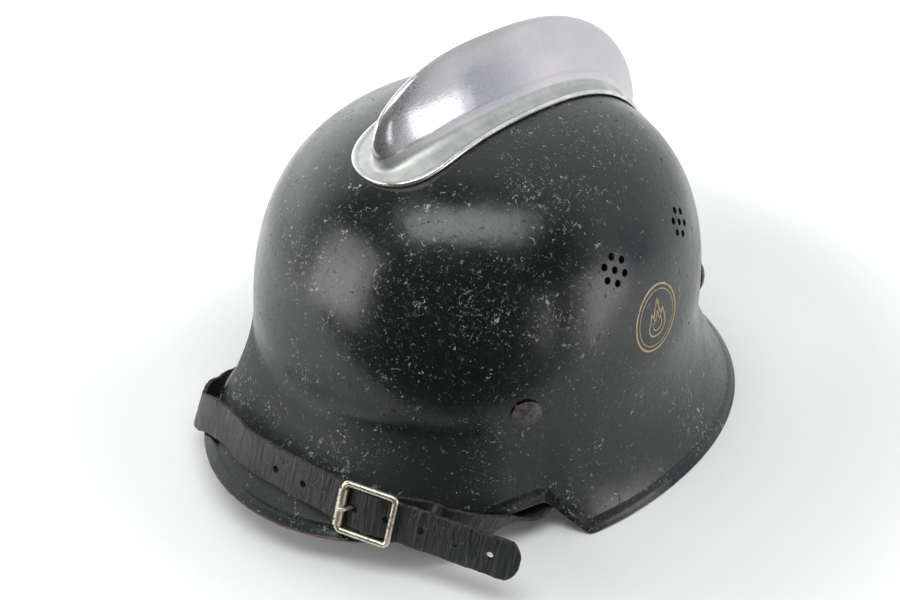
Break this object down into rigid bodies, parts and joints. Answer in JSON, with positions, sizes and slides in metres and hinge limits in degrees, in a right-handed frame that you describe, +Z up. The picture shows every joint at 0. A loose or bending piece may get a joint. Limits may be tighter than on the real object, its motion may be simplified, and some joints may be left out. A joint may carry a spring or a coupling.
{
  "type": "fire service helmet",
  "caption": "Black steel fire helmet with a bright aluminium comb, flared peak and neck guard, riveted leather liner and a buckled chinstrap parked over the peak.",
  "frame": {"origin": "on the table under the neck guard, below the middle of the dome", "axes": "+X to the front (peak), +Y to the wearer's left, +Z up"},
  "size_m": [0.3065, 0.2416, 0.1938],
  "materials": {
    "shell_paint": "worn satin black over steel",
    "comb_metal": "brushed flange, polished body",
    "rivet_paint": "black paint, scuffed",
    "band_steel": "zinc grey",
    "felt": "matte",
    "liner_leather": "satin",
    "lace_cotton": "matte",
    "strap_leather": "creased satin black",
    "buckle_metal": "worn nickel plate"
  },
  "bodies": {
    "root": {"shell": "shell_paint", "comb": "comb_metal", "comb_tabs": "band_steel", "liner_rivets": "rivet_paint", "rivet_washers": "band_steel", "outer_band": "band_steel", "spring_bows": "band_steel", "bow_rivets": "band_steel", "inner_band": "band_steel", "felt_ring": "felt", "leather_liner": "liner_leather", "liner_studs": "band_steel", "crown_lace": "lace_cotton", "bail_clips": "band_steel", "clip_rivets": "band_steel", "long_strap": "strap_leather", "short_strap": "strap_leather", "strap_studs": "band_steel", "buckle_frame": "buckle_metal"},
    "bail_left": {"bail_left": "buckle_metal"},
    "bail_right": {"bail_right": "buckle_metal"},
    "buckle_roller": {"buckle_roller": "buckle_metal"},
    "buckle_prong": {"buckle_prong": "buckle_metal"}
  },
  "joints": [
    {"name": "bail_left_swing", "type": "hinge", "parent": "root", "child": "bail_left", "pos_m": [0.00672, 0.09615, 0.0539], "axis": [-0.9976, 0.0698, 0], "range_deg": [-6, 6]},
    {"name": "bail_right_swing", "type": "hinge", "parent": "root", "child": "bail_right", "pos_m": [0.00672, -0.09615, 0.0539], "axis": [0.9976, 0.0698, 0], "range_deg": [-6, 6]},
    {"name": "roller_spin", "type": "hinge", "parent": "root", "child": "buckle_roller", "pos_m": [0.13681, 0.04352, 0.03236], "axis": [-0.32, -0.0376, 0.9467], "continuous": true},
    {"name": "prong_swing", "type": "hinge", "parent": "root", "child": "buckle_prong", "pos_m": [0.12823, 0.05234, 0.02992], "axis": [-0.32, -0.0376, 0.9467], "range_deg": [0, 5]}
  ]
}
